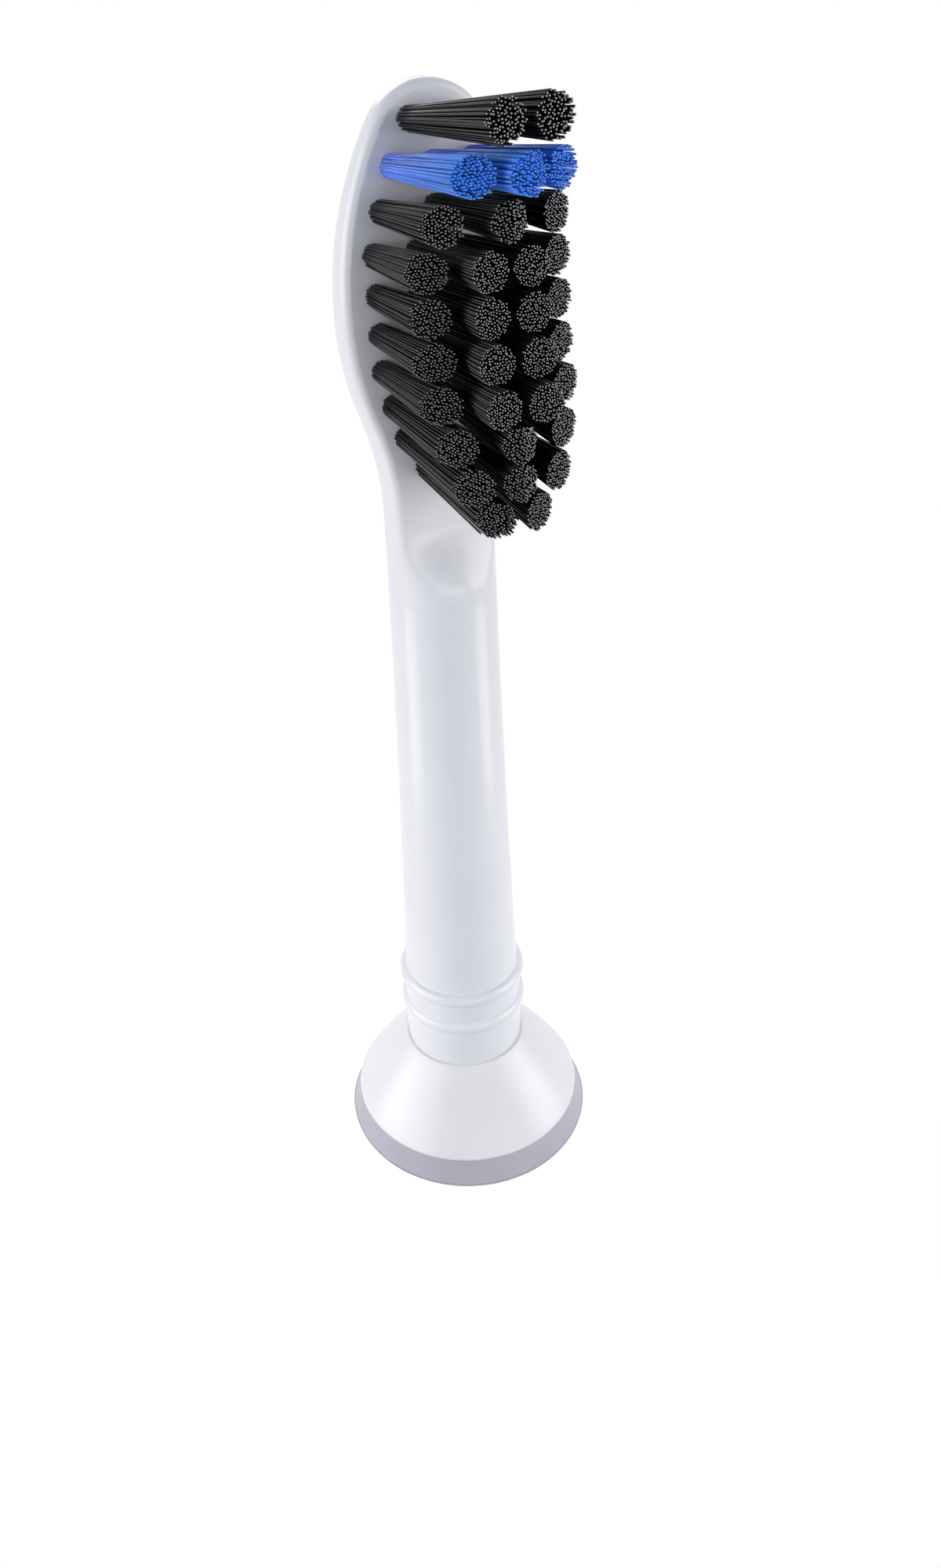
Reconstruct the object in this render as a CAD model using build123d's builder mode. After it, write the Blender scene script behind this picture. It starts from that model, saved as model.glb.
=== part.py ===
from build123d import *
import math
import os

# Push-on head for a sonic toothbrush, in millimetres.
# The drive axis is Z, the rim of the base stands on Z = 0 and the bristles face -Y.

# Base ring and base skirt, radii about the drive axis
RIM_RADIUS = 10.2
RIM_BAND_HEIGHT = 2.2
RIM_BAND_TOP_RADIUS = 9.25
RING_UPSTAND_WALL = 0.65
RING_UPSTAND_HEIGHT = 1.2
SKIRT_LIP_RADIUS = 9.45
SKIRT_TOP = 8.2
SKIRT_TOP_LAND = 0.2
SKIRT_GRIP_BOTTOM = 5.6
SKIRT_SEAT_WALL = 1.8

# Collar, beads and neck of the brush body
COLLAR_RADIUS = 4.85
BEAD_HEIGHTS = (12.1, 14.9)
BEAD_RADIUS = 0.6
BEAD_TOP_RADIUS = 5.18
BEAD_SIDES = 6
NECK_FOOT_RADIUS = 4.69
NECK_MID = 32.0
NECK_MID_RADIUS = 4.21
NECK_TOP = 50.5
NECK_TOP_RADIUS = 3.94
NECK_FLAT = 0.05
MOULD_LINE_STEP = 0.08

# Platen: a paddle of tangent arcs, seen from the front
PLATEN_HALF_WIDTH = 6.6
WIDEST_ABOVE_NECK = 20.6
TAIL_CURVE_RADIUS = 22.5
LOWER_FLANK_RADIUS = 22.0
LOWER_FLANK_TURN = 20.5
UPPER_FLANK_RADIUS = 23.6
UPPER_FLANK_TURN = 28.5
PLATEN_FACE = 1.65
PLATEN_BACK = 2.1
PLATEN_BACK_TAPER = 1.45
FACE_EDGE = 0.5
BACK_EDGE = 0.9
BLEND_STEPS = 4

# Tufts: each row gives its letter and, for each column, (distance from the middle, length, trim slope)
ROW_GAP = 2.48
ROW_GAP_GROWTH = 0.045
FIELD_TOP_BELOW_CAP = 2.285
TUFT_ROWS = (
    ("a", ((1.5, 12.9, 0.0),)),
    ("b", ((2.8, 11.4, 0.45), (0.0, 13.0, 0.45))),
    ("c", ((3.7, 9.05, 0.5), (0.0, 10.7, 0.5))),
    ("d", ((4.35, 7.95, 0.5), (1.35, 10.25, 0.0))),
    ("e", ((4.35, 8.1, 0.5), (1.4, 10.4, 0.0))),
    ("f", ((4.3, 8.4, 0.5), (1.4, 10.9, 0.0))),
    ("g", ((4.25, 8.95, 0.5), (1.4, 11.7, 0.0))),
    ("h", ((3.7, 9.75, 0.5), (0.0, 11.4, 0.5))),
    ("i", ((2.95, 10.4, 0.5), (0.0, 11.4, 0.5))),
    ("j", ((1.55, 10.4, 0.5),)),
)
TUFT_SIDES = 8
TUFT_ROOT_RADIUS = 0.76
TUFT_TIP_RADIUS = 1.15
TUFT_FAN_DEPTH = 240.0
TUFT_HOLE_DEPTH = 1.8
TUFT_HOLE_LEAD = 0.2
TUFT_CLEARANCE = 0.02
TUFT_TRIM_SPARE = 0.3
ANCHOR_THICKNESS = 0.25
ANCHOR_HEIGHT = 0.8

# Drive socket: an insert with a round guide and a keyed stretch for the shaft's flat
FIT_CLEARANCE = 0.05
SOCKET_CAVITY_RADIUS = 3.3
SOCKET_RECESS = 0.4
SHAFT_BORE_RADIUS = 2.25
GUIDE_LENGTH = 9.0
KEY_LENGTH = 12.0
KEY_BORE_RADIUS = 2.05
KEY_FLAT = 1.6
SOCKET_ROOF = 1.5
SPRING_WIDTH = 2.0
SPRING_THICKNESS = 0.25
SPRING_BOW = 0.85
SPRING_END_GAP = 0.5
SPRING_POCKET_DEPTH = 1.1

# Places that follow from the sizes above
skirt_bore_radius = COLLAR_RADIUS + FIT_CLEARANCE
ring_seat_radius = SKIRT_LIP_RADIUS - SKIRT_SEAT_WALL
ring_seat_top = RIM_BAND_HEIGHT + RING_UPSTAND_HEIGHT + FIT_CLEARANCE
ring_outer_radius = ring_seat_radius - FIT_CLEARANCE
ring_bore_radius = ring_outer_radius - RING_UPSTAND_WALL
ring_top = RIM_BAND_HEIGHT + RING_UPSTAND_HEIGHT
guide_end = SOCKET_RECESS + GUIDE_LENGTH
key_end = guide_end + KEY_LENGTH
socket_top = key_end + SOCKET_ROOF
row_count = len(TUFT_ROWS)

# Outline of the platen: the flanks turn in below the widest place and run into a round cap above it
lower_turn = math.radians(LOWER_FLANK_TURN)
upper_turn = math.radians(UPPER_FLANK_TURN)
flank_reach = LOWER_FLANK_RADIUS + TAIL_CURVE_RADIUS
platen_widest = NECK_TOP + WIDEST_ABOVE_NECK
platen_tail = platen_widest - flank_reach * math.sin(lower_turn)
tail_half_width = PLATEN_HALF_WIDTH - flank_reach * (1 - math.cos(lower_turn))
cap_half_width = PLATEN_HALF_WIDTH - UPPER_FLANK_RADIUS * (1 - math.cos(upper_turn))
cap_radius = cap_half_width / math.cos(upper_turn)
cap_middle = platen_widest + (UPPER_FLANK_RADIUS - cap_radius) * math.sin(upper_turn)
platen_top = cap_middle + cap_radius


def row_heights():
    """Heights of the tuft rows, closer together towards the neck."""
    heights = [platen_top - FIELD_TOP_BELOW_CAP]
    for gap in range(row_count - 1):
        middle_gap = (row_count - 2) / 2
        heights.append(heights[-1] - ROW_GAP - ROW_GAP_GROWTH * (middle_gap - gap))
    return heights


def tuft_places():
    """Every tuft as (name, distance from the middle, height, length, trim slope)."""
    places = []
    for (letter, columns), height in zip(TUFT_ROWS, row_heights()):
        spots = []
        for distance, length, slope in columns:
            sides = (-1, 1) if distance > 0 else (1,)
            spots += [(side * distance, length, slope) for side in sides]
        for number, (across, length, slope) in enumerate(sorted(spots), start=1):
            places.append((f"tuft_{letter}{number}", across, height, length, slope))
    return places


places = tuft_places()
field_middle = sum(row_heights()) / row_count


def tuft_plane(across, height):
    """Plane at a tuft's root, facing along the tuft: all tufts fan out from a line behind the platen."""
    return Plane(
        origin=(across, -PLATEN_FACE, height),
        x_dir=(1, 0, 0),
        z_dir=(0, -TUFT_FAN_DEPTH, height - field_middle),
    )


def bundle(radius):
    """Outline of a tuft or of its hole, with flats towards the neighbouring tufts."""
    return RegularPolygon(radius, TUFT_SIDES, major_radius=False, rotation=180 / TUFT_SIDES)


def blend_section(height, half_width, front, back, front_corner, back_corner):
    """Section between neck and platen: a rectangle with its own front and back corners."""
    with BuildSketch(Plane.XY.offset(height)) as section:
        with BuildLine():
            Polyline(
                (-half_width, -front),
                (half_width, -front),
                (half_width, back),
                (-half_width, back),
                close=True,
            )
        make_face()
        fillet(section.vertices().group_by(Axis.Y)[0], front_corner)
        fillet(section.vertices().group_by(Axis.Y)[-1], back_corner)
    return section.sketch.faces()[0]


def mix(low, high, share):
    """Value between low and high, with an even start and an even end."""
    ease = share * share * (3 - 2 * share)
    return low + (high - low) * ease


# Brush body: collar, beads, neck and platen in one moulding
blend_sections = []
for step in range(BLEND_STEPS):
    share = step / BLEND_STEPS
    blend_radius = NECK_TOP_RADIUS - MOULD_LINE_STEP
    blend_sections.append(
        blend_section(
            NECK_TOP + (platen_tail - NECK_TOP) * share,
            mix(blend_radius, tail_half_width, share),
            mix(blend_radius, PLATEN_FACE, share),
            mix(blend_radius, PLATEN_BACK, share),
            mix(blend_radius - NECK_FLAT, FACE_EDGE, share),
            mix(blend_radius - NECK_FLAT, BACK_EDGE, share),
        )
    )

with BuildPart() as brush_body:
    with BuildSketch(Plane.XZ.offset(PLATEN_FACE)):
        with BuildLine():
            tail = Line((0, platen_tail), (tail_half_width, platen_tail))
            tail_curve = JernArc(tail @ 1, (0, 1), TAIL_CURVE_RADIUS, -LOWER_FLANK_TURN)
            lower = JernArc(tail_curve @ 1, tail_curve % 1, LOWER_FLANK_RADIUS, LOWER_FLANK_TURN)
            upper = JernArc(lower @ 1, lower % 1, UPPER_FLANK_RADIUS, UPPER_FLANK_TURN)
            TangentArc(upper @ 1, (0, platen_top), tangent=upper % 1)
            mirror(about=Plane.YZ)
        make_face()
    extrude(amount=-(PLATEN_FACE + PLATEN_BACK))
    back_plane = Plane(
        origin=(0, PLATEN_BACK, platen_tail),
        x_dir=(1, 0, 0),
        z_dir=(0, platen_top - platen_tail, PLATEN_BACK_TAPER),
    )
    split(bisect_by=back_plane, keep=Keep.BOTTOM)
    front_face = brush_body.faces().sort_by(Axis.Y)[0]
    chamfer(front_face.edges().sort_by(Axis.Z)[1:], FACE_EDGE)
    back_face = brush_body.faces().sort_by(Axis.Y)[-1]
    chamfer(back_face.edges().sort_by(Axis.Z)[1:], BACK_EDGE)
    tail_face = brush_body.faces().sort_by(Axis.Z)[0]
    loft(sections=[*blend_sections, tail_face])
    with BuildSketch(Plane.XZ):
        with BuildLine():
            Polyline(
                (NECK_FOOT_RADIUS, BEAD_HEIGHTS[-1]),
                (COLLAR_RADIUS, BEAD_HEIGHTS[-1]),
                (COLLAR_RADIUS, SOCKET_RECESS),
                (0, SOCKET_RECESS),
                (0, NECK_TOP),
                (NECK_TOP_RADIUS, NECK_TOP),
            )
            ThreePointArc(
                (NECK_TOP_RADIUS, NECK_TOP),
                (NECK_MID_RADIUS, NECK_MID),
                (NECK_FOOT_RADIUS, BEAD_HEIGHTS[-1]),
            )
        make_face()
        with Locations(*[(BEAD_TOP_RADIUS - BEAD_RADIUS, height) for height in BEAD_HEIGHTS]):
            RegularPolygon(BEAD_RADIUS, BEAD_SIDES, major_radius=False, rotation=180 / BEAD_SIDES)
    revolve(axis=Axis.Z)
    for _, across, height, _, _ in places:
        with BuildSketch(tuft_plane(across, height).offset(TUFT_HOLE_LEAD)):
            bundle(TUFT_ROOT_RADIUS + TUFT_CLEARANCE)
    extrude(amount=-TUFT_HOLE_DEPTH - TUFT_HOLE_LEAD, mode=Mode.SUBTRACT)
    with BuildSketch(Plane.XY.offset(SOCKET_RECESS)):
        Circle(SOCKET_CAVITY_RADIUS)
    extrude(amount=socket_top + FIT_CLEARANCE - SOCKET_RECESS, mode=Mode.SUBTRACT)

# Base skirt: the flared cone that clips on the collar
with BuildPart() as base_skirt:
    with BuildSketch(Plane.XZ):
        with BuildLine():
            Polyline(
                (skirt_bore_radius + SKIRT_TOP_LAND, SKIRT_TOP),
                (skirt_bore_radius, SKIRT_TOP),
                (skirt_bore_radius, SKIRT_GRIP_BOTTOM),
                (ring_seat_radius, ring_seat_top),
                (ring_seat_radius, RIM_BAND_HEIGHT),
                (SKIRT_LIP_RADIUS, RIM_BAND_HEIGHT),
                close=True,
            )
        make_face()
    revolve(axis=Axis.Z)

# Base ring: the grey rim that the head stands on, with an upstand inside the skirt
with BuildPart() as base_ring:
    with BuildSketch(Plane.XZ):
        with BuildLine():
            Polyline(
                (RIM_RADIUS, 0),
                (ring_bore_radius, 0),
                (ring_bore_radius, ring_top),
                (ring_outer_radius, ring_top),
                (ring_outer_radius, RIM_BAND_HEIGHT),
                (RIM_BAND_TOP_RADIUS, RIM_BAND_HEIGHT),
                close=True,
            )
        make_face()
    revolve(axis=Axis.Z)

# Drive socket: round guide below, keyed stretch with the spring pocket above
with BuildPart() as drive_socket:
    with BuildSketch(Plane.XY.offset(SOCKET_RECESS)):
        Circle(SOCKET_CAVITY_RADIUS - FIT_CLEARANCE)
    extrude(amount=socket_top - SOCKET_RECESS)
    with BuildSketch(Plane.XY.offset(SOCKET_RECESS)):
        Circle(SHAFT_BORE_RADIUS)
    extrude(amount=GUIDE_LENGTH, mode=Mode.SUBTRACT)
    with BuildSketch(Plane.XY.offset(guide_end)):
        Circle(KEY_BORE_RADIUS)
        with Locations((0, KEY_FLAT)):
            Rectangle(
                2 * KEY_BORE_RADIUS,
                KEY_BORE_RADIUS,
                align=(Align.CENTER, Align.MIN),
                mode=Mode.SUBTRACT,
            )
        Rectangle(
            SPRING_WIDTH + 2 * FIT_CLEARANCE,
            KEY_FLAT + SPRING_POCKET_DEPTH,
            align=(Align.CENTER, Align.MIN),
        )
    extrude(amount=KEY_LENGTH, mode=Mode.SUBTRACT)

# Retaining spring: a bowed steel leaf behind the flat of the shaft
with BuildPart() as retaining_spring:
    with BuildSketch(Plane.YZ):
        with BuildLine():
            rest = KEY_FLAT + SPRING_POCKET_DEPTH - FIT_CLEARANCE
            low = guide_end + SPRING_END_GAP
            high = key_end - SPRING_END_GAP
            middle = (low + high) / 2
            ThreePointArc((rest, low), (rest - SPRING_BOW, middle), (rest, high))
            Line((rest, high), (rest - SPRING_THICKNESS, high))
            ThreePointArc(
                (rest - SPRING_THICKNESS, high),
                (rest - SPRING_THICKNESS - SPRING_BOW, middle),
                (rest - SPRING_THICKNESS, low),
            )
            Line((rest - SPRING_THICKNESS, low), (rest, low))
        make_face()
    extrude(amount=SPRING_WIDTH / 2, both=True)

# Tuft anchors: flat metal strips at the bottom of the holes, where they hold the filaments
anchor_depth = TUFT_HOLE_DEPTH - TUFT_CLEARANCE
with BuildPart() as tuft_anchors:
    for _, across, height, _, _ in places:
        with BuildSketch(tuft_plane(across, height).offset(-anchor_depth)):
            Rectangle(2 * TUFT_ROOT_RADIUS, ANCHOR_THICKNESS)
    extrude(amount=ANCHOR_HEIGHT)


def make_tuft(across, height, length, slope):
    """One tuft: a flared bundle that stands on its anchor and is cut on the slant at its tip."""
    plane = tuft_plane(across, height)
    flare = (TUFT_TIP_RADIUS - TUFT_ROOT_RADIUS) / length
    depth = anchor_depth - ANCHOR_HEIGHT - TUFT_CLEARANCE
    reach = length + slope * TUFT_TIP_RADIUS + TUFT_TRIM_SPARE
    tip = PLATEN_FACE + length
    with BuildPart() as tuft:
        with BuildSketch(plane.offset(-depth)):
            bundle(2 * TUFT_TIP_RADIUS)
        extrude(amount=depth + reach)
        for turn in range(TUFT_SIDES):
            angle = math.radians(360 * turn / TUFT_SIDES)
            outward = plane.x_dir * math.cos(angle) + plane.y_dir * math.sin(angle)
            flank = Plane(
                origin=plane.origin + outward * TUFT_ROOT_RADIUS,
                x_dir=outward.cross(plane.z_dir),
                z_dir=outward - plane.z_dir * flare,
            )
            split(bisect_by=flank, keep=Keep.BOTTOM)
        for side in (-1, 1):
            if side * across >= 0:
                cut_plane = Plane(
                    origin=(across, -tip, height),
                    x_dir=(0, 0, 1),
                    z_dir=(side * slope, -1, 0),
                )
                split(bisect_by=cut_plane, keep=Keep.BOTTOM)
    return tuft.part


pieces = {
    "brush_body": brush_body.part,
    "base_skirt": base_skirt.part,
    "base_ring": base_ring.part,
    "drive_socket": drive_socket.part,
    "retaining_spring": retaining_spring.part,
    "tuft_anchors": tuft_anchors.part,
}
for name, across, height, length, slope in places:
    pieces[name] = make_tuft(across, height, length, slope)

os.makedirs("parts", exist_ok=True)
for name, piece in pieces.items():
    piece.label = name
    export_step(piece, f"parts/{name}.step")
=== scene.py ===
import math
import random

import bpy
from mathutils import Matrix, Vector


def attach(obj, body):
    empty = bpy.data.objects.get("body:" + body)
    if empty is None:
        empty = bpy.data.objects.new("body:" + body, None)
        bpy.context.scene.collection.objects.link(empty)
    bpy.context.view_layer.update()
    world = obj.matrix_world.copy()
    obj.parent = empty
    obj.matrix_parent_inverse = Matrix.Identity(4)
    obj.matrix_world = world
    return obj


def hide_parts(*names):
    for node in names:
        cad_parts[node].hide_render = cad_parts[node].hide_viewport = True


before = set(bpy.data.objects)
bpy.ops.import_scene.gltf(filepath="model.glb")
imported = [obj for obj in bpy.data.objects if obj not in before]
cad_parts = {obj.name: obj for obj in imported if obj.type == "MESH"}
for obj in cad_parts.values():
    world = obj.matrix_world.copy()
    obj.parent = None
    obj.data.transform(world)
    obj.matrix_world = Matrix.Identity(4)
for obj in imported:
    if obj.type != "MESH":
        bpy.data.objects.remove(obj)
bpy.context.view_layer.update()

MM = 0.001
SEED = 7

# Sizes of the solids, in millimetres
RIM_RADIUS = 10.2
RIM_BAND_HEIGHT = 2.2
RIM_BAND_TOP_RADIUS = 9.25
RING_OUTER_RADIUS = 7.6
RING_BORE_RADIUS = 6.95
RING_TOP = 3.4
SKIRT_LIP_RADIUS = 9.45
SKIRT_TOP = 8.2
SKIRT_TOP_LAND = 0.2
SKIRT_BORE_RADIUS = 4.9
SKIRT_GRIP_BOTTOM = 5.6
RING_SEAT_RADIUS = 7.65
RING_SEAT_TOP = 3.45
COLLAR_RADIUS = 4.85
COLLAR_BOTTOM = 0.4
CAVITY_RADIUS = 3.3
CAVITY_TOP = 22.95
BEAD_HEIGHTS = (12.1, 14.9)
BEAD_RADIUS = 0.6
BEAD_TOP_RADIUS = 5.18
NECK_FOOT_RADIUS = 4.69
NECK_MID = 32.0
NECK_MID_RADIUS = 4.21
NECK_TOP = 50.5
NECK_TOP_RADIUS = 3.94
PLATEN_HALF_WIDTH = 6.6
WIDEST_ABOVE_NECK = 20.6
TAIL_CURVE_RADIUS = 22.5
LOWER_FLANK_RADIUS = 22.0
LOWER_FLANK_TURN = math.radians(20.5)
UPPER_FLANK_RADIUS = 23.6
UPPER_FLANK_TURN = math.radians(28.5)
PLATEN_FACE = 1.65
PLATEN_BACK = 2.1
PLATEN_BACK_TAPER = 1.45
ROW_GAP = 2.48
ROW_GAP_GROWTH = 0.045
FIELD_TOP_BELOW_CAP = 2.285
TUFT_ROWS = (
    ("a", ((1.5, 12.9, 0.0),)),
    ("b", ((2.8, 11.4, 0.45), (0.0, 13.0, 0.45))),
    ("c", ((3.7, 9.05, 0.5), (0.0, 10.7, 0.5))),
    ("d", ((4.35, 7.95, 0.5), (1.35, 10.25, 0.0))),
    ("e", ((4.35, 8.1, 0.5), (1.4, 10.4, 0.0))),
    ("f", ((4.3, 8.4, 0.5), (1.4, 10.9, 0.0))),
    ("g", ((4.25, 8.95, 0.5), (1.4, 11.7, 0.0))),
    ("h", ((3.7, 9.75, 0.5), (0.0, 11.4, 0.5))),
    ("i", ((2.95, 10.4, 0.5), (0.0, 11.4, 0.5))),
    ("j", ((1.55, 10.4, 0.5),)),
)
TUFT_FAN_DEPTH = 240.0
TUFT_DEPTH = 0.9

# Softer edges and finer detail than the solids carry
FACE_EDGE = 0.62
BACK_EDGE = 1.3
LIP_EDGE = 0.16
RIM_EDGE = 0.3
SKIRT_BULGE = 0.12
COLLAR_EDGE = 0.1
MOULD_LINE_STEP = 0.02
MOULD_LINE_RUN = 0.06
SKIRT_TOP_GAP = 0.01
COLLAR_RING_GAP = 1.5
BORE_TOP_DROP = 0.06
LAND_DROP = 0.05
LAND_ROUND = ((0.05, 0.01), (0.12, 0.0))
LIP_TURN = 36
RIM_FOOT_INSET = 0.02
RIM_EDGE_INSET = 0.05
RIM_EDGE_TURN = -80
BAND_TOP_INSET = 0.1
BAND_TOP_OUT = 0.03
BAND_TOP_DROP = 0.05
SHARP_ANGLE = 40.0
TUFT_SHARP_ANGLE = 60.0

# Steps along the curves
ARC_STEPS = 7
BEAD_STEPS = 21
NECK_STEPS = 40
BLEND_STEPS = 30
TAIL_STEPS = 16
LOWER_FLANK_STEPS = 18
UPPER_FLANK_STEPS = 24
CAP_STEPS = 30
CONE_STEPS = 16
BAND_STEPS = 5

# Points round half a section: front flat, front corner, side, back corner and back flat
FRONT_POINTS = 12
FRONT_CORNER_POINTS = 9
SIDE_POINTS = 5
BACK_CORNER_POINTS = 12
BACK_POINTS = 8
HALF_POINTS = FRONT_POINTS + FRONT_CORNER_POINTS + SIDE_POINTS + BACK_CORNER_POINTS + BACK_POINTS
RING_POINTS = 2 * HALF_POINTS

flank_reach = LOWER_FLANK_RADIUS + TAIL_CURVE_RADIUS
platen_widest = NECK_TOP + WIDEST_ABOVE_NECK
platen_tail = platen_widest - flank_reach * math.sin(LOWER_FLANK_TURN)
tail_half_width = PLATEN_HALF_WIDTH - flank_reach * (1 - math.cos(LOWER_FLANK_TURN))
cap_half_width = PLATEN_HALF_WIDTH - UPPER_FLANK_RADIUS * (1 - math.cos(UPPER_FLANK_TURN))
cap_radius = cap_half_width / math.cos(UPPER_FLANK_TURN)
cap_middle = platen_widest + (UPPER_FLANK_RADIUS - cap_radius) * math.sin(UPPER_FLANK_TURN)
platen_top = cap_middle + cap_radius


def platen_back(height):
    """Depth of the platen's back, which thins towards the top."""
    return PLATEN_BACK - PLATEN_BACK_TAPER * (height - platen_tail) / (platen_top - platen_tail)


def add_piece(name, points, faces, material, sharp_angle=SHARP_ANGLE):
    """A mesh from points in millimetres, smooth apart from its sharp corners, that rides with the head."""
    mesh = bpy.data.meshes.new(name)
    mesh.from_pydata([(x * MM, y * MM, z * MM) for x, y, z in points], [], faces)
    mesh.polygons.foreach_set("use_smooth", [True] * len(mesh.polygons))
    mesh.set_sharp_from_angle(angle=math.radians(sharp_angle))
    mesh.materials.append(material)
    mesh.update()
    piece = bpy.data.objects.new(name, mesh)
    bpy.context.scene.collection.objects.link(piece)
    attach(piece, "root")
    return piece


def arc(middle, radius, start, end, steps):
    """Points of an arc in a plane, angles in degrees."""
    points = []
    for step in range(steps + 1):
        angle = math.radians(start + (end - start) * step / steps)
        points.append((middle[0] + radius * math.cos(angle), middle[1] + radius * math.sin(angle)))
    return points


def ring_at(radius, height):
    """A level circle that starts at the front and goes round by the right side."""
    ring = []
    for step in range(RING_POINTS):
        angle = 2 * math.pi * step / RING_POINTS
        ring.append((radius * math.sin(angle), -radius * math.cos(angle), height))
    return ring


def skin(rings, closed):
    """Quads between rings of equal length; closed joins the last ring to the first."""
    count = len(rings[0])
    points = [point for ring in rings for point in ring]
    faces = []
    pairs = len(rings) if closed else len(rings) - 1
    for row in range(pairs):
        low = row * count
        high = (row + 1) % len(rings) * count
        for step in range(count):
            after = (step + 1) % count
            faces.append((low + step, low + after, high + after, high + step))
    return points, faces


# Materials; sizes of their patterns in millimetres

SLOW_DETAIL = 2.0
GRAIN_DETAIL = 3.0
TUFT_FAR = -13.0
TUFT_NEAR = -2.0
TUFT_TIP_AT = 0.8
STREAK_WIDTH = 0.3
STREAK_STRETCH = (1, 0.03, 1)
STREAK_DETAIL = 1.0


def start_material(name):
    """An empty node material with its shader and output."""
    material = bpy.data.materials.new(name)
    material.use_nodes = True
    tree = material.node_tree
    tree.nodes.clear()
    shader = tree.nodes.new("ShaderNodeBsdfPrincipled")
    output = tree.nodes.new("ShaderNodeOutputMaterial")
    tree.links.new(shader.outputs["BSDF"], output.inputs["Surface"])
    return material, tree, shader


def noise_node(tree, stretch, scale, detail):
    """Noise in the object's own coordinates, stretched along chosen axes."""
    place = tree.nodes.new("ShaderNodeTexCoord")
    mapping = tree.nodes.new("ShaderNodeMapping")
    mapping.inputs["Scale"].default_value = stretch
    noise = tree.nodes.new("ShaderNodeTexNoise")
    noise.inputs["Scale"].default_value = scale
    noise.inputs["Detail"].default_value = detail
    tree.links.new(place.outputs["Object"], mapping.inputs["Vector"])
    tree.links.new(mapping.outputs["Vector"], noise.inputs["Vector"])
    return noise


def ramp_node(tree, source, low, high, low_at=0.35, high_at=0.65):
    """A colour ramp between two colours, driven by a value."""
    ramp = tree.nodes.new("ShaderNodeValToRGB")
    ramp.color_ramp.elements[0].position = low_at
    ramp.color_ramp.elements[0].color = (*low, 1.0)
    ramp.color_ramp.elements[1].position = high_at
    ramp.color_ramp.elements[1].color = (*high, 1.0)
    tree.links.new(source, ramp.inputs["Fac"])
    return ramp


def range_node(tree, source, low, high, from_low=0.3, from_high=0.7):
    """Maps a value to a range."""
    span = tree.nodes.new("ShaderNodeMapRange")
    span.inputs["From Min"].default_value = from_low
    span.inputs["From Max"].default_value = from_high
    span.inputs["To Min"].default_value = low
    span.inputs["To Max"].default_value = high
    tree.links.new(source, span.inputs["Value"])
    return span


def surface(name, low, high, rough, patch, grain, grain_depth, stretch=(1, 1, 1), **fixed):
    """A surface with slow colour and gloss variation and a fine grain; sizes in millimetres."""
    material, tree, shader = start_material(name)
    for socket, value in fixed.items():
        shader.inputs[socket.replace("_", " ")].default_value = value
    slow = noise_node(tree, stretch, 1 / (patch * MM), SLOW_DETAIL)
    colour = ramp_node(tree, slow.outputs["Fac"], low, high)
    tree.links.new(colour.outputs["Color"], shader.inputs["Base Color"])
    gloss = range_node(tree, slow.outputs["Fac"], rough[0], rough[1])
    tree.links.new(gloss.outputs["Result"], shader.inputs["Roughness"])
    fine = noise_node(tree, stretch, 1 / (grain * MM), GRAIN_DETAIL)
    bump = tree.nodes.new("ShaderNodeBump")
    bump.inputs["Strength"].default_value = 1.0
    bump.inputs["Distance"].default_value = grain_depth * MM
    tree.links.new(fine.outputs["Fac"], bump.inputs["Height"])
    tree.links.new(bump.outputs["Normal"], shader.inputs["Normal"])
    return material


def filament(name, root, tip, streak, rough, **fixed):
    """Filaments: root colour to tip colour along the tuft, with a streak for each strand."""
    material, tree, shader = start_material(name)
    for socket, value in fixed.items():
        shader.inputs[socket.replace("_", " ")].default_value = value
    place = tree.nodes.new("ShaderNodeTexCoord")
    axes = tree.nodes.new("ShaderNodeSeparateXYZ")
    tree.links.new(place.outputs["Object"], axes.inputs["Vector"])
    along = range_node(tree, axes.outputs["Y"], 1.0, 0.0, TUFT_FAR * MM, TUFT_NEAR * MM)
    colour = ramp_node(tree, along.outputs["Result"], root, tip, 0.0, TUFT_TIP_AT)
    strands = noise_node(tree, STREAK_STRETCH, 1 / (STREAK_WIDTH * MM), STREAK_DETAIL)
    shade = range_node(tree, strands.outputs["Fac"], 1 - streak, 1 + streak)
    mixed = tree.nodes.new("ShaderNodeVectorMath")
    mixed.operation = "SCALE"
    tree.links.new(colour.outputs["Color"], mixed.inputs[0])
    tree.links.new(shade.outputs["Result"], mixed.inputs["Scale"])
    tree.links.new(mixed.outputs["Vector"], shader.inputs["Base Color"])
    gloss = range_node(tree, strands.outputs["Fac"], rough[0], rough[1])
    tree.links.new(gloss.outputs["Result"], shader.inputs["Roughness"])
    return material


white_plastic = surface(
    "white_plastic",
    (0.80, 0.802, 0.815),
    (0.82, 0.822, 0.835),
    (0.2, 0.24),
    patch=6.0,
    grain=0.5,
    grain_depth=0.001,
    Specular_IOR_Level=0.5,
)
satin_white = surface(
    "satin_white_plastic",
    (0.80, 0.797, 0.80),
    (0.82, 0.817, 0.82),
    (0.28, 0.34),
    patch=4.0,
    grain=0.18,
    grain_depth=0.001,
    Specular_IOR_Level=0.5,
)
grey_plastic = surface(
    "grey_plastic",
    (0.435, 0.435, 0.475),
    (0.465, 0.465, 0.505),
    (0.3, 0.36),
    patch=3.0,
    grain=0.2,
    grain_depth=0.003,
)
socket_plastic = surface(
    "socket_plastic",
    (0.60, 0.61, 0.62),
    (0.64, 0.65, 0.66),
    (0.4, 0.5),
    patch=2.0,
    grain=0.15,
    grain_depth=0.006,
)
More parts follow.
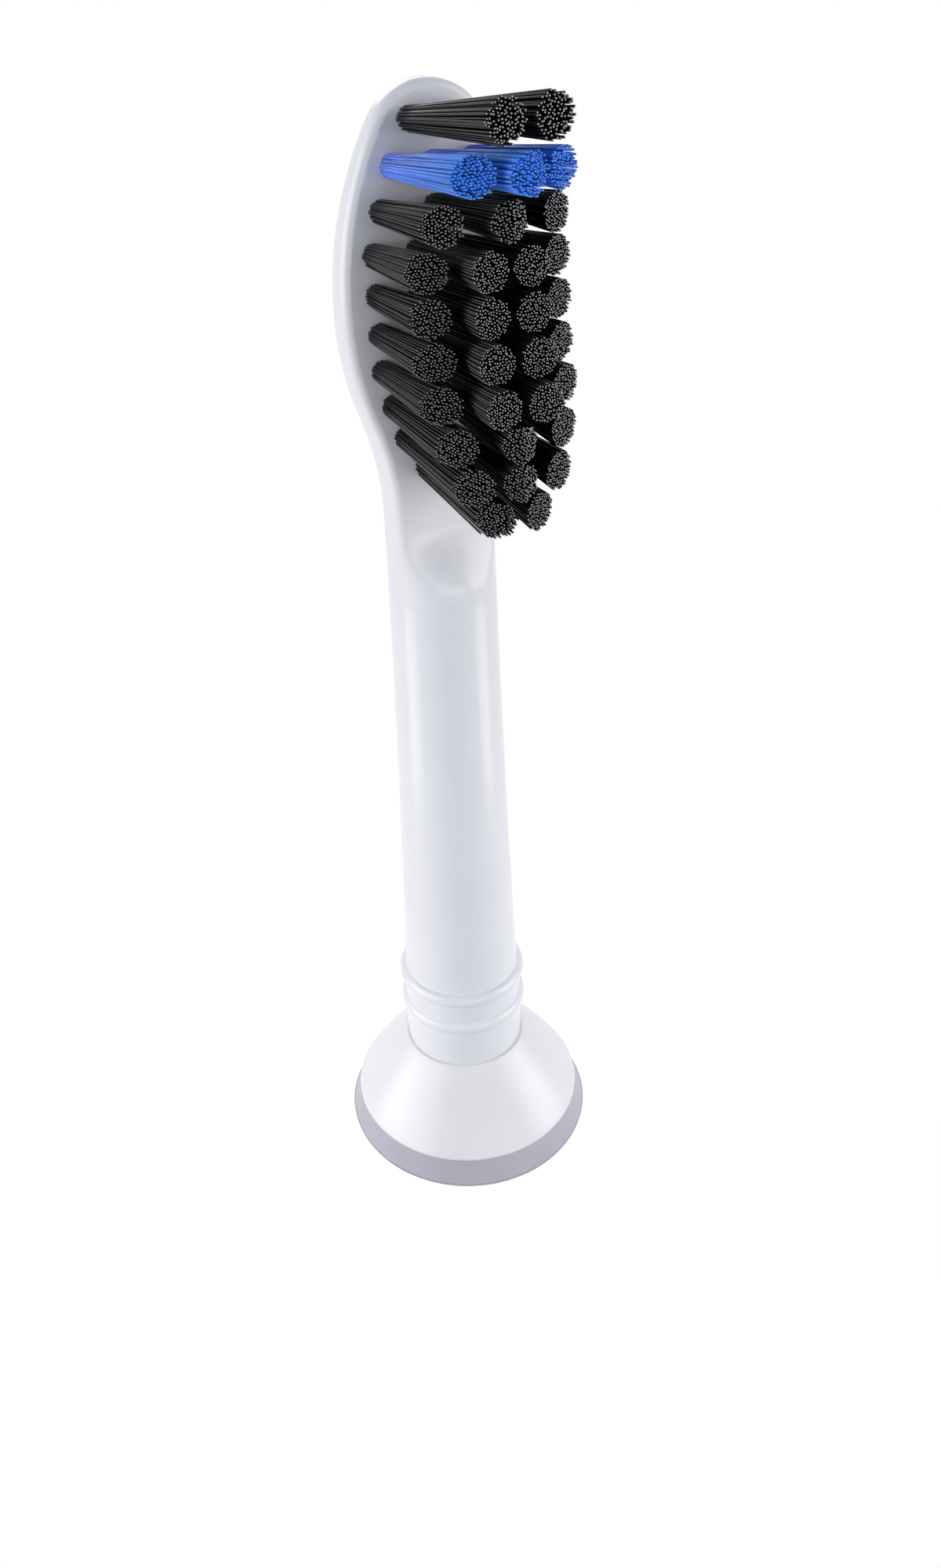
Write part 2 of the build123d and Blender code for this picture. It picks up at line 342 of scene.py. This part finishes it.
spring_steel = surface(
    "spring_steel",
    (0.52, 0.52, 0.53),
    (0.62, 0.62, 0.63),
    (0.22, 0.34),
    patch=1.0,
    grain=0.08,
    grain_depth=0.002,
    stretch=(6, 1, 0.3),
    Metallic=1.0,
)
anchor_metal = surface(
    "anchor_metal",
    (0.55, 0.50, 0.40),
    (0.66, 0.60, 0.48),
    (0.28, 0.4),
    patch=0.6,
    grain=0.08,
    grain_depth=0.002,
    Metallic=1.0,
)
black_filament = filament(
    "black_filament",
    (0.005, 0.005, 0.006),
    (0.003, 0.003, 0.003),
    streak=0.35,
    rough=(0.24, 0.34),
    Specular_IOR_Level=0.3,
)
# Grey end caps on the black filaments: painted highlight, a light grey that stands in for the light the
# rounded tips catch.
black_end_caps_painted_highlight = surface(
    "black_filament_painted_tip_highlight",
    (0.30, 0.30, 0.30),
    (0.46, 0.46, 0.46),
    (0.3, 0.45),
    patch=0.3,
    grain=0.05,
    grain_depth=0.001,
)
blue_filament = filament(
    "blue_filament",
    (0.12, 0.21, 0.72),
    (0.035, 0.20, 0.74),
    streak=0.3,
    rough=(0.24, 0.36),
    Subsurface_Weight=0.35,
    Subsurface_Scale=0.3 * MM,
)
# Lighter blue end caps: painted highlight on the rounded tips of the blue filaments.
blue_end_caps_painted_highlight = surface(
    "blue_filament_painted_tip_highlight",
    (0.05, 0.26, 0.80),
    (0.10, 0.34, 0.86),
    (0.3, 0.45),
    patch=0.3,
    grain=0.05,
    grain_depth=0.001,
)

# Brush body: cavity, collar, beads, neck, blend and platen as one skin


def circle_through(first, second, third):
    """Middle and radius of the circle through three points."""
    (ax, ay), (bx, by), (cx, cy) = first, second, third
    d = 2 * (ax * (by - cy) + bx * (cy - ay) + cx * (ay - by))
    a2, b2, c2 = ax * ax + ay * ay, bx * bx + by * by, cx * cx + cy * cy
    ux = (a2 * (by - cy) + b2 * (cy - ay) + c2 * (ay - by)) / d
    uy = (a2 * (cx - bx) + b2 * (ax - cx) + c2 * (bx - ax)) / d
    return (ux, uy), math.hypot(ax - ux, ay - uy)


neck_circle = circle_through(
    (NECK_FOOT_RADIUS, BEAD_HEIGHTS[-1]), (NECK_MID_RADIUS, NECK_MID), (NECK_TOP_RADIUS, NECK_TOP)
)


def neck_radius(height):
    """Radius of the neck, on its long hollow curve."""
    (middle, level), radius = neck_circle
    side = -1 if middle > NECK_FOOT_RADIUS else 1
    return middle + side * math.sqrt(radius**2 - (height - level) ** 2)


def bead_profile(height, below, above):
    """A round bead between the radii below and above it."""
    middle = BEAD_TOP_RADIUS - BEAD_RADIUS
    start = -math.degrees(math.acos((below - middle) / BEAD_RADIUS))
    end = math.degrees(math.acos((above - middle) / BEAD_RADIUS))
    return arc((middle, height), BEAD_RADIUS, start, end, BEAD_STEPS)


def ease(low, high, share):
    """Value between low and high, with an even start and an even end."""
    return low + (high - low) * share * share * (3 - 2 * share)


def whole_ring(half):
    """A ring from its right half and the mirrored left half."""
    return half + [(-x, y, z) for x, y, z in reversed(half[1:-1])]


def platen_stations():
    """Right edge of the platen from tail to top as (x, z, outward x, outward z)."""
    stations = []
    for step in range(1, TAIL_STEPS + 1):
        turn = LOWER_FLANK_TURN * step / TAIL_STEPS
        out = (math.cos(turn), -math.sin(turn))
        x = tail_half_width + TAIL_CURVE_RADIUS * (1 - out[0])
        stations.append((x, platen_tail + TAIL_CURVE_RADIUS * math.sin(turn), *out))
    lower_middle = PLATEN_HALF_WIDTH - LOWER_FLANK_RADIUS
    upper_middle = PLATEN_HALF_WIDTH - UPPER_FLANK_RADIUS
    lower_arc = (lower_middle, platen_widest, LOWER_FLANK_RADIUS, -LOWER_FLANK_TURN, 0.0, LOWER_FLANK_STEPS)
    upper_arc = (upper_middle, platen_widest, UPPER_FLANK_RADIUS, 0.0, UPPER_FLANK_TURN, UPPER_FLANK_STEPS)
    cap_arc = (0.0, cap_middle, cap_radius, UPPER_FLANK_TURN, math.pi / 2, CAP_STEPS)
    for middle, level, radius, start, end, steps in (lower_arc, upper_arc, cap_arc):
        for step in range(1, steps + 1):
            turn = start + (end - start) * step / steps
            out = (math.cos(turn), math.sin(turn))
            stations.append((middle + radius * out[0], level + radius * out[1], *out))
    return stations


def platen_half(x, z, out_x, out_z):
    """Right half of the platen's section at one place of its outline."""
    half = []
    inner_x, inner_z = x - out_x * FACE_EDGE, z - out_z * FACE_EDGE
    for step in range(FRONT_POINTS):
        half.append((inner_x * step / FRONT_POINTS, -PLATEN_FACE, inner_z))
    for step in range(FRONT_CORNER_POINTS):
        turn = math.pi / 2 * step / FRONT_CORNER_POINTS
        inset = FACE_EDGE * (1 - math.sin(turn))
        y = -PLATEN_FACE + FACE_EDGE * (1 - math.cos(turn))
        half.append((x - out_x * inset, y, z - out_z * inset))
    back = platen_back(z - out_z * BACK_EDGE)
    side_front, side_back = -PLATEN_FACE + FACE_EDGE, back - BACK_EDGE
    for step in range(SIDE_POINTS):
        half.append((x, side_front + (side_back - side_front) * step / SIDE_POINTS, z))
    for step in range(BACK_CORNER_POINTS):
        turn = math.pi / 2 * step / BACK_CORNER_POINTS
        inset = BACK_EDGE * (1 - math.cos(turn))
        half.append((x - out_x * inset, side_back + BACK_EDGE * math.sin(turn), z - out_z * inset))
    inner_x, inner_z = x - out_x * BACK_EDGE, z - out_z * BACK_EDGE
    for step in range(BACK_POINTS + 1):
        half.append((inner_x * (1 - step / BACK_POINTS), back, inner_z))
    return half


profile = [
    (CAVITY_RADIUS, CAVITY_TOP),
    (CAVITY_RADIUS, COLLAR_BOTTOM),
    (COLLAR_RADIUS - COLLAR_EDGE, COLLAR_BOTTOM),
    (COLLAR_RADIUS, COLLAR_BOTTOM + COLLAR_EDGE),
    (COLLAR_RADIUS, SKIRT_GRIP_BOTTOM),
    (COLLAR_RADIUS, SKIRT_TOP),
    (COLLAR_RADIUS, SKIRT_TOP + COLLAR_RING_GAP),
]
profile += bead_profile(BEAD_HEIGHTS[0], COLLAR_RADIUS, COLLAR_RADIUS)
profile += bead_profile(BEAD_HEIGHTS[1], COLLAR_RADIUS, neck_radius(BEAD_HEIGHTS[1] + BEAD_RADIUS))
neck_start = profile[-1][1]
for step in range(1, NECK_STEPS + 1):
    height = neck_start + (NECK_TOP - neck_start) * step / NECK_STEPS
    profile.append((neck_radius(height), height))
rings = [ring_at(radius, height) for radius, height in profile]
blend_radius = NECK_TOP_RADIUS - MOULD_LINE_STEP
tail_ring = whole_ring(platen_half(tail_half_width, platen_tail, 1.0, 0.0))
for step in range(BLEND_STEPS + 1):
    share = step / BLEND_STEPS
    height = NECK_TOP + MOULD_LINE_RUN + (platen_tail - NECK_TOP - MOULD_LINE_RUN) * share
    round_ring = ring_at(blend_radius, height)
    rings.append(
        [
            (ease(x, tail_x, share), ease(y, tail_y, share), height)
            for (x, y, _), (tail_x, tail_y, _) in zip(round_ring, tail_ring)
        ]
    )
rings += [whole_ring(platen_half(*station)) for station in platen_stations()]
points, faces = skin(rings, closed=False)
faces.append(tuple(reversed(range(RING_POINTS))))
body = add_piece("body_shell", points, faces, white_plastic)
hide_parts("brush_body")

# Base skirt and base ring: turned profiles with soft edges


def turned(name, outline, material):
    """A closed outline of (radius, height) turned about the drive axis."""
    points, faces = skin([ring_at(radius, height) for radius, height in outline], closed=True)
    return add_piece(name, points, faces, material)


skirt_outline = [
    (COLLAR_RADIUS + SKIRT_TOP_GAP, SKIRT_TOP - BORE_TOP_DROP),
    (SKIRT_BORE_RADIUS, SKIRT_GRIP_BOTTOM),
    (RING_SEAT_RADIUS, RING_SEAT_TOP),
    (RING_SEAT_RADIUS, RIM_BAND_HEIGHT),
    (SKIRT_LIP_RADIUS - LIP_EDGE, RIM_BAND_HEIGHT),
]
skirt_outline += arc(
    (SKIRT_LIP_RADIUS - LIP_EDGE, RIM_BAND_HEIGHT + LIP_EDGE), LIP_EDGE, -90, LIP_TURN, ARC_STEPS
)
lip_top = skirt_outline[-1]
land_edge = (SKIRT_BORE_RADIUS + SKIRT_TOP_LAND, SKIRT_TOP - LAND_DROP)
cone_run = (land_edge[0] - lip_top[0], land_edge[1] - lip_top[1])
cone_length = math.hypot(*cone_run)
cone_out = (cone_run[1] / cone_length, -cone_run[0] / cone_length)
for step in range(1, CONE_STEPS):
    share = step / CONE_STEPS
    bulge = SKIRT_BULGE * 4 * share * (1 - share)
    skirt_outline.append(
        (
            lip_top[0] + cone_run[0] * share + cone_out[0] * bulge,
            lip_top[1] + cone_run[1] * share + cone_out[1] * bulge,
        )
    )
skirt_outline.append(land_edge)
for inset, drop in LAND_ROUND:
    skirt_outline.append((land_edge[0] - inset, SKIRT_TOP - drop))
skirt_outline.append((COLLAR_RADIUS + 2 * SKIRT_TOP_GAP, SKIRT_TOP - SKIRT_TOP_GAP))
skirt = turned("skirt_shell", skirt_outline, satin_white)
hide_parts("base_skirt")

band_lean = (RIM_RADIUS - RIM_BAND_TOP_RADIUS) / RIM_BAND_HEIGHT
band_top = RIM_BAND_HEIGHT - BAND_TOP_DROP
ring_outline = [
    (RIM_RADIUS - RIM_EDGE - RIM_FOOT_INSET, 0.0),
    (RING_BORE_RADIUS, 0.0),
    (RING_BORE_RADIUS, RING_TOP),
    (RING_OUTER_RADIUS, RING_TOP),
    (RING_OUTER_RADIUS, RIM_BAND_HEIGHT),
    (RIM_BAND_TOP_RADIUS - BAND_TOP_INSET, RIM_BAND_HEIGHT),
    (RIM_BAND_TOP_RADIUS + BAND_TOP_OUT, band_top),
]
for step in range(1, BAND_STEPS + 1):
    height = band_top + (RIM_EDGE - band_top) * step / BAND_STEPS
    ring_outline.append((RIM_RADIUS - band_lean * height, height))
rim_middle = (RIM_RADIUS - RIM_EDGE - RIM_EDGE_INSET, RIM_EDGE)
ring_outline += arc(rim_middle, RIM_EDGE, 0, RIM_EDGE_TURN, ARC_STEPS)
ring = turned("ring_shell", ring_outline, grey_plastic)
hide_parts("base_ring")

# Tufts: each one a bundle of round-ended filaments, cut to the slant of its row

STRAND_SIDES = 6
STRAND_ROOT_RADIUS = 0.053
STRAND_TIP_RADIUS = 0.073
STRAND_COUNT = 136
COARSE_STRAND_TIP_RADIUS = 0.086
COARSE_STRAND_COUNT = 112
BUNDLE_ROOT_RADIUS = 0.8
BUNDLE_TIP_RADIUS = 1.28
COARSE_BUNDLE_TIP_RADIUS = 1.36
END_SHARE = 0.62
END_RISE = 0.5
SPOT_JITTER = 0.22
END_JITTER = 0.012
COARSE_END_JITTER = 0.05
LEAN_JITTER = 0.002
ACROSS_STRANDS = Vector((0.3, 0.2, 0.9))


def bundle_spots(count, chance):
    """Strand places in a unit circle: a loose honeycomb, turned by chance."""
    gap = math.sqrt(2 / math.sqrt(3) * math.pi / count)
    turn = chance.uniform(0, math.pi / 3)
    shift = (chance.uniform(-0.5, 0.5) * gap, chance.uniform(-0.5, 0.5) * gap)
    spots = []
    reach = int(2 / gap) + 2
    for row in range(-reach, reach + 1):
        for column in range(-reach, reach + 1):
            u = (column + 0.5 * (row % 2)) * gap + shift[0]
            v = row * gap * math.sqrt(3) / 2 + shift[1]
            u += chance.uniform(-SPOT_JITTER, SPOT_JITTER) * gap
            v += chance.uniform(-SPOT_JITTER, SPOT_JITTER) * gap
            if math.hypot(u, v) <= 1.0:
                spots.append(
                    (u * math.cos(turn) - v * math.sin(turn), u * math.sin(turn) + v * math.cos(turn))
                )
    return spots


def add_tuft(name, across, height, length, slope, field_middle, coarse, material, end_cap_highlight):
    """One tuft of filaments that fan out from the root and stop on the trim plane; their end caps take a
    lighter material that paints the highlight on the tips.
    """
    chance = random.Random(f"{SEED} {name}")
    root = Vector((across, -PLATEN_FACE, height))
    axis = Vector((0, -TUFT_FAN_DEPTH, height - field_middle)).normalized()
    side = Vector((1, 0, 0))
    up = axis.cross(side).normalized()
    tip_radius = COARSE_STRAND_TIP_RADIUS if coarse else STRAND_TIP_RADIUS
    root_reach = BUNDLE_ROOT_RADIUS - STRAND_ROOT_RADIUS
    tip_reach = (COARSE_BUNDLE_TIP_RADIUS if coarse else BUNDLE_TIP_RADIUS) - tip_radius
    trim_point = Vector((across, -PLATEN_FACE - length, height))
    trims = [Vector((way * slope, -1, 0)) for way in (-1, 1) if way * across >= 0]
    points, faces = [], []
    for u, v in bundle_spots(COARSE_STRAND_COUNT if coarse else STRAND_COUNT, chance):
        out = side * u + up * v
        start = root + out * root_reach
        run = axis + out * (tip_reach - root_reach) / length
        end = min((trim_point - start).dot(trim) / run.dot(trim) for trim in trims)
        end += chance.gauss(0, COARSE_END_JITTER if coarse else END_JITTER)
        run += side * chance.gauss(0, LEAN_JITTER) + up * chance.gauss(0, LEAN_JITTER)
        straight = run.normalized()
        first = straight.cross(ACROSS_STRANDS).normalized()
        second = straight.cross(first)
        levels = [
            (-TUFT_DEPTH, STRAND_ROOT_RADIUS),
            (end - tip_radius * END_RISE, tip_radius),
            (end - tip_radius * END_RISE * END_SHARE**2, tip_radius * END_SHARE),
        ]
        base = len(points)
        for distance, radius in levels:
            middle = start + run * distance
            for number in range(STRAND_SIDES):
                turn = 2 * math.pi * number / STRAND_SIDES
                points.append(middle + (first * math.cos(turn) + second * math.sin(turn)) * radius)
        points.append(start + run * end)
        pole = len(points) - 1
        for row in range(len(levels) - 1):
            low = base + row * STRAND_SIDES
            high = low + STRAND_SIDES
            for number in range(STRAND_SIDES):
                after = (number + 1) % STRAND_SIDES
                faces.append((low + number, low + after, high + after, high + number))
        last = base + (len(levels) - 1) * STRAND_SIDES
        for number in range(STRAND_SIDES):
            faces.append((last + number, last + (number + 1) % STRAND_SIDES, pole))
        faces.append(tuple(base + number for number in reversed(range(STRAND_SIDES))))
    tuft = add_piece(name, points, faces, material, TUFT_SHARP_ANGLE)
    # The end caps take the painted tip highlight material.
    tuft.data.materials.append(end_cap_highlight)
    tuft.data.polygons.foreach_set("material_index", [int(len(face) == 3) for face in faces])
    return tuft


row_heights = [platen_top - FIELD_TOP_BELOW_CAP]
for gap in range(len(TUFT_ROWS) - 1):
    row_heights.append(row_heights[-1] - ROW_GAP - ROW_GAP_GROWTH * ((len(TUFT_ROWS) - 2) / 2 - gap))
field_middle = sum(row_heights) / len(row_heights)

for (letter, columns), height in zip(TUFT_ROWS, row_heights):
    spots = []
    for distance, length, slope in columns:
        sides = (-1, 1) if distance > 0 else (1,)
        spots += [(way * distance, length, slope) for way in sides]
    blue = letter == "b"
    for number, (across, length, slope) in enumerate(sorted(spots), start=1):
        label = f"{letter}{number}"
        tuft = add_tuft(
            f"strands_{label}",
            across,
            height,
            length,
            slope,
            field_middle,
            letter == "a",
            blue_filament if blue else black_filament,
            blue_end_caps_painted_highlight if blue else black_end_caps_painted_highlight,
        )
        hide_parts(f"tuft_{label}")

# Solids that stay as they are take their finish here
for node, material in (
    ("drive_socket", socket_plastic),
    ("retaining_spring", spring_steel),
    ("tuft_anchors", anchor_metal),
):
    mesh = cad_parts[node].data
    mesh.materials.clear()
    mesh.materials.append(material)

# Camera at the photograph's place, fitted in a frame of 1200 by 2000
IMAGE_WIDTH = 1200
IMAGE_HEIGHT = 2000
CAMERA_PLACE = (-35.01, -78.28, 89.57)
CAMERA_YAW = math.radians(22.21)
CAMERA_PITCH = math.radians(25.27)
CAMERA_ROLL = math.radians(3.70)
FOCAL_PIXELS = 1651.61
CENTRE_X = 515.91
CENTRE_Y = 763.62
SENSOR = 36.0
CLIP_NEAR = 0.005
CLIP_FAR = 10.0

ahead = Vector(
    (
        math.sin(CAMERA_YAW) * math.cos(CAMERA_PITCH),
        math.cos(CAMERA_YAW) * math.cos(CAMERA_PITCH),
        -math.sin(CAMERA_PITCH),
    )
)
level_right = Vector((math.cos(CAMERA_YAW), -math.sin(CAMERA_YAW), 0))
level_down = ahead.cross(level_right)
right = level_right * math.cos(CAMERA_ROLL) + level_down * math.sin(CAMERA_ROLL)
down = level_down * math.cos(CAMERA_ROLL) - level_right * math.sin(CAMERA_ROLL)
camera_data = bpy.data.cameras.new("camera")
camera_data.sensor_width = SENSOR
camera_data.lens = FOCAL_PIXELS / IMAGE_HEIGHT * SENSOR
camera_data.shift_x = (IMAGE_WIDTH / 2 - CENTRE_X) / IMAGE_HEIGHT
camera_data.shift_y = (CENTRE_Y - IMAGE_HEIGHT / 2) / IMAGE_HEIGHT
camera_data.clip_start = CLIP_NEAR
camera_data.clip_end = CLIP_FAR
camera = bpy.data.objects.new("camera", camera_data)
turn = Matrix((right, -down, -ahead)).transposed()
camera.matrix_world = Matrix.Translation(Vector(CAMERA_PLACE) * MM) @ turn.to_4x4()
bpy.context.scene.collection.objects.link(camera)
bpy.context.scene.camera = camera

# Pale floor, white to the camera apart from the object's shadow


def light_path_white(tree):
    """1 for rays that the camera sees straight, in a reflection or through glass."""
    path = tree.nodes.new("ShaderNodeLightPath")
    first = tree.nodes.new("ShaderNodeMath")
    first.operation = "MAXIMUM"
    tree.links.new(path.outputs["Is Camera Ray"], first.inputs[0])
    tree.links.new(path.outputs["Is Glossy Ray"], first.inputs[1])
    second = tree.nodes.new("ShaderNodeMath")
    second.operation = "MAXIMUM"
    tree.links.new(first.outputs["Value"], second.inputs[0])
    tree.links.new(path.outputs["Is Transmission Ray"], second.inputs[1])
    return second.outputs["Value"]


FLOOR_HALF = 0.6
FLOOR_DROP = 0.02
FLOOR_COLOUR = (0.42, 0.43, 0.45, 1)
FLOOR_LIFT = 0.78
SHADOW_NEAR = 0.012
SHADOW_FAR = 0.04
floor_mesh = bpy.data.meshes.new("floor")
floor_corners = [(x * FLOOR_HALF, y * FLOOR_HALF, 0) for x, y in ((-1, -1), (1, -1), (1, 1), (-1, 1))]
floor_mesh.from_pydata(floor_corners, [], [(0, 1, 2, 3)])
floor = bpy.data.objects.new("floor", floor_mesh)
floor.location.z = -FLOOR_DROP * MM
bpy.context.scene.collection.objects.link(floor)
floor_material = bpy.data.materials.new("floor")
floor_material.use_nodes = True
tree = floor_material.node_tree
tree.nodes.clear()
matt = tree.nodes.new("ShaderNodeBsdfDiffuse")
matt.inputs["Color"].default_value = FLOOR_COLOUR
glow = tree.nodes.new("ShaderNodeEmission")
lift = tree.nodes.new("ShaderNodeMath")
lift.operation = "MULTIPLY"
lift.inputs[1].default_value = FLOOR_LIFT
near = tree.nodes.new("ShaderNodeAddShader")
far = tree.nodes.new("ShaderNodeEmission")
place = tree.nodes.new("ShaderNodeTexCoord")
distance = tree.nodes.new("ShaderNodeVectorMath")
distance.operation = "LENGTH"
fade = tree.nodes.new("ShaderNodeMapRange")
fade.interpolation_type = "SMOOTHSTEP"
fade.inputs["From Min"].default_value = SHADOW_NEAR
fade.inputs["From Max"].default_value = SHADOW_FAR
fade_seen = tree.nodes.new("ShaderNodeMath")
fade_seen.operation = "MULTIPLY"
choice = tree.nodes.new("ShaderNodeMixShader")
output = tree.nodes.new("ShaderNodeOutputMaterial")
seen = light_path_white(tree)
tree.links.new(seen, lift.inputs[0])
tree.links.new(lift.outputs["Value"], glow.inputs["Strength"])
tree.links.new(matt.outputs["BSDF"], near.inputs[0])
tree.links.new(glow.outputs["Emission"], near.inputs[1])
tree.links.new(place.outputs["Object"], distance.inputs[0])
tree.links.new(distance.outputs["Value"], fade.inputs["Value"])
tree.links.new(fade.outputs["Result"], fade_seen.inputs[0])
tree.links.new(seen, fade_seen.inputs[1])
tree.links.new(fade_seen.outputs["Value"], choice.inputs["Fac"])
tree.links.new(near.outputs["Shader"], choice.inputs[1])
tree.links.new(far.outputs["Emission"], choice.inputs[2])
tree.links.new(choice.outputs["Shader"], output.inputs["Surface"])
floor_mesh.materials.append(floor_material)

# World: soft cool light all round, white to the camera
AMBIENT_COLOUR = (0.58, 0.70, 1.06, 1)
AMBIENT_STRENGTH = 0.22
world = bpy.data.worlds.new("studio")
bpy.context.scene.world = world
world.use_nodes = True
tree = world.node_tree
tree.nodes.clear()
ambient = tree.nodes.new("ShaderNodeBackground")
ambient.inputs["Color"].default_value = AMBIENT_COLOUR
ambient.inputs["Strength"].default_value = AMBIENT_STRENGTH
white = tree.nodes.new("ShaderNodeBackground")
white.inputs["Color"].default_value = (1, 1, 1, 1)
white.inputs["Strength"].default_value = 1.0
choice = tree.nodes.new("ShaderNodeMixShader")
output = tree.nodes.new("ShaderNodeOutputWorld")
tree.links.new(light_path_white(tree), choice.inputs["Fac"])
tree.links.new(ambient.outputs["Background"], choice.inputs[1])
tree.links.new(white.outputs["Background"], choice.inputs[2])
tree.links.new(choice.outputs["Shader"], output.inputs["Surface"])

# Studio lamps: soft boxes all round and two low strips that the neck mirrors.
# Each row gives the angles to the right of the camera and above the floor, the distance from the aim,
# width and height in metres, brightness, colour, and the height of the aim.
BOX_COLOUR = (1.0, 0.985, 0.97)
BACK_COLOUR = (1.0, 0.995, 0.99)
LAMPS = (
    ("left_box", -72, 14, 0.26, 0.3, 0.2, 2.95, BOX_COLOUR, 0.045),
    ("right_box", 78, 14, 0.26, 0.2, 0.2, 2.75, BOX_COLOUR, 0.045),
    ("back_box", 180, 42, 0.26, 0.24, 0.18, 2.0, BACK_COLOUR, 0.05),
    ("front_box", 18, 6, 0.34, 0.34, 0.15, 2.05, BOX_COLOUR, 0.045),
    ("left_strip", -78, 0, 0.055, 0.026, 0.025, 2.1, BACK_COLOUR, 0.0135),
    ("right_strip", 78, 0, 0.055, 0.026, 0.025, 2.15, BACK_COLOUR, 0.0135),
)


def soft_box(name, turn_right, rise, distance, width, height, radiance, colour, aim):
    """An area lamp of a given brightness, placed round the object from the camera's direction."""
    angle = math.radians(turn_right)
    lift_angle = math.radians(rise)
    toward = Vector((-math.sin(CAMERA_YAW), -math.cos(CAMERA_YAW), 0))
    flat = toward * math.cos(angle) + level_right * math.sin(angle)
    way = flat * math.cos(lift_angle) + Vector((0, 0, math.sin(lift_angle)))
    data = bpy.data.lights.new(name, "AREA")
    data.shape = "RECTANGLE"
    data.size = width
    data.size_y = height
    data.energy = radiance * math.pi * width * height
    data.color = colour
    lamp = bpy.data.objects.new(name, data)
    target = Vector((0, 0, aim))
    lamp.location = target + way * distance
    lamp.visible_camera = False
    lamp.rotation_mode = "QUATERNION"
    lamp.rotation_quaternion = (-way).to_track_quat("-Z", "Y")
    bpy.context.scene.collection.objects.link(lamp)


for lamp_values in LAMPS:
    soft_box(*lamp_values)

bpy.context.scene.view_settings.view_transform = "Standard"
